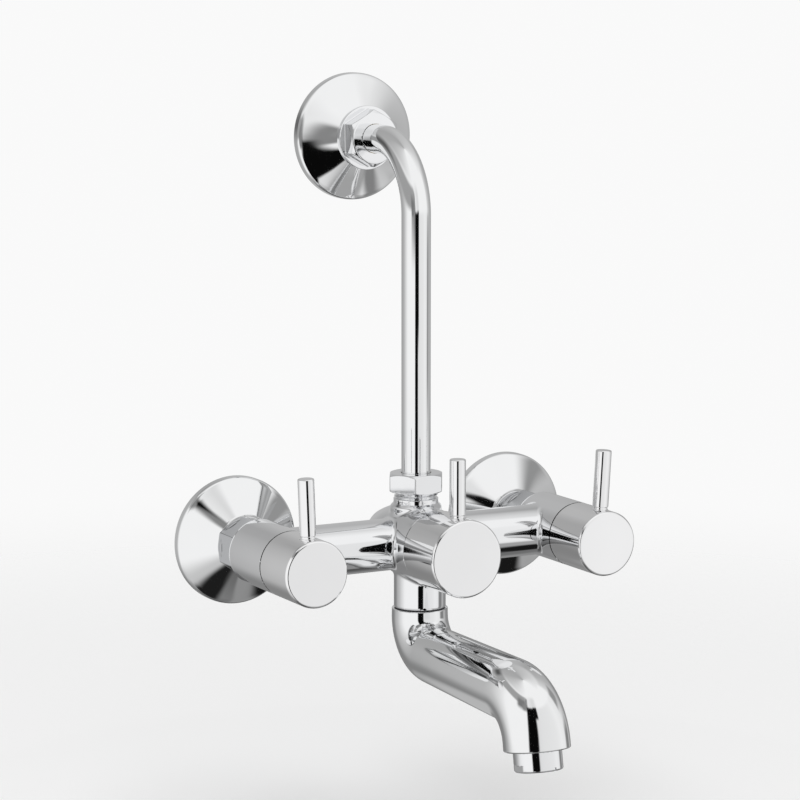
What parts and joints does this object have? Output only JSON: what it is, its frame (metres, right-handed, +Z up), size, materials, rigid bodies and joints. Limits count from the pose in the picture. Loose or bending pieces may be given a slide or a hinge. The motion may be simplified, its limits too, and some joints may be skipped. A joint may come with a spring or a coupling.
{
  "type": "wall mixer",
  "caption": "Exposed wall mixer with pin lever valves, a diverter to a riser bend, cover flanges and a swivel spout with an aerator.",
  "frame": {"origin": "midway between the two inlets, on the plane of the finished wall", "axes": "+X to the viewer's right along the line of the inlets, +Y into the wall, +Z up; the handles face -Y"},
  "size_m": [0.2124, 0.2129, 0.31],
  "materials": {
    "body_chrome": "polished",
    "flange_chrome": "polished",
    "handle_chrome": "polished",
    "pipe_chrome": "polished",
    "nut_chrome": "polished",
    "leg_chrome": "satin",
    "aerator_chrome": "polished",
    "aerator_plastic": "satin",
    "cartridge_brass": "machined",
    "spindle_brass": "machined",
    "screw_steel": "machined",
    "disc_ceramic": "polished",
    "seal_rubber": "matt",
    "washer_fibre": "matt",
    "slip_plastic": "matt"
  },
  "bodies": {
    "base": {"cold_bonnet_seal": "washer_fibre", "cold_cartridge_body": "cartridge_brass", "cold_fixed_disc": "disc_ceramic", "cold_leg": "leg_chrome", "cold_leg_nut": "nut_chrome", "cold_leg_washer": "washer_fibre", "cold_seat_seal": "seal_rubber", "diverter_bonnet_seal": "washer_fibre", "diverter_cartridge_body": "cartridge_brass", "hot_bonnet_seal": "washer_fibre", "hot_cartridge_body": "cartridge_brass", "hot_fixed_disc": "disc_ceramic", "hot_leg": "leg_chrome", "hot_leg_nut": "nut_chrome", "hot_leg_washer": "washer_fibre", "hot_seat_seal": "seal_rubber", "mixer_body": "body_chrome", "riser_nut": "nut_chrome", "riser_olive": "spindle_brass", "riser_pipe": "pipe_chrome", "spout_seal_rings": "seal_rubber", "spout_slip_ring": "slip_plastic", "upper_nipple": "leg_chrome", "upper_nut": "nut_chrome", "upper_olive": "spindle_brass", "upper_wall_flange": "flange_chrome"},
    "hot_handle": {"hot_knob": "handle_chrome", "hot_lever": "handle_chrome", "hot_grub_screw": "screw_steel", "hot_spindle": "spindle_brass", "hot_stem_ring": "seal_rubber", "hot_circlip": "screw_steel", "hot_moving_disc": "disc_ceramic"},
    "cold_handle": {"cold_knob": "handle_chrome", "cold_lever": "handle_chrome", "cold_grub_screw": "screw_steel", "cold_spindle": "spindle_brass", "cold_stem_ring": "seal_rubber", "cold_circlip": "screw_steel", "cold_moving_disc": "disc_ceramic"},
    "diverter_handle": {"diverter_knob": "handle_chrome", "diverter_lever": "handle_chrome", "diverter_grub_screw": "screw_steel", "diverter_spindle": "spindle_brass", "diverter_stem_ring": "seal_rubber", "diverter_circlip": "screw_steel", "diverter_rotor": "spindle_brass"},
    "swivel_spout": {"spout": "pipe_chrome", "spout_set_screw": "screw_steel", "aerator_housing": "aerator_chrome", "aerator_insert": "aerator_plastic", "aerator_washer": "seal_rubber"},
    "hot_flange": {"hot_wall_flange": "flange_chrome"},
    "cold_flange": {"cold_wall_flange": "flange_chrome"}
  },
  "joints": [
    {"name": "hot_lever_turn", "type": "hinge", "parent": "base", "child": "hot_handle", "pos_m": [-0.07775, -0.0895, 0], "axis": [0, -1, 0], "range_deg": [-2.1, 87.9]},
    {"name": "cold_lever_turn", "type": "hinge", "parent": "base", "child": "cold_handle", "pos_m": [0.07775, -0.0895, 0], "axis": [0, 1, 0], "range_deg": [-3.5, 86.5]},
    {"name": "diverter_turn", "type": "hinge", "parent": "base", "child": "diverter_handle", "pos_m": [0, -0.0895, 0], "axis": [0, 1, 0], "range_deg": [0, 90]},
    {"name": "spout_swivel", "type": "hinge", "parent": "base", "child": "swivel_spout", "pos_m": [0, -0.0723, -0.0314], "axis": [0, 0, 1], "range_deg": [-90, 90]},
    {"name": "hot_flange_slide", "type": "slide", "parent": "base", "child": "hot_flange", "axis": [0, 1, 0], "range_m": [0, 0.0209]},
    {"name": "cold_flange_slide", "type": "slide", "parent": "base", "child": "cold_flange", "axis": [0, 1, 0], "range_m": [0, 0.0209]}
  ]
}
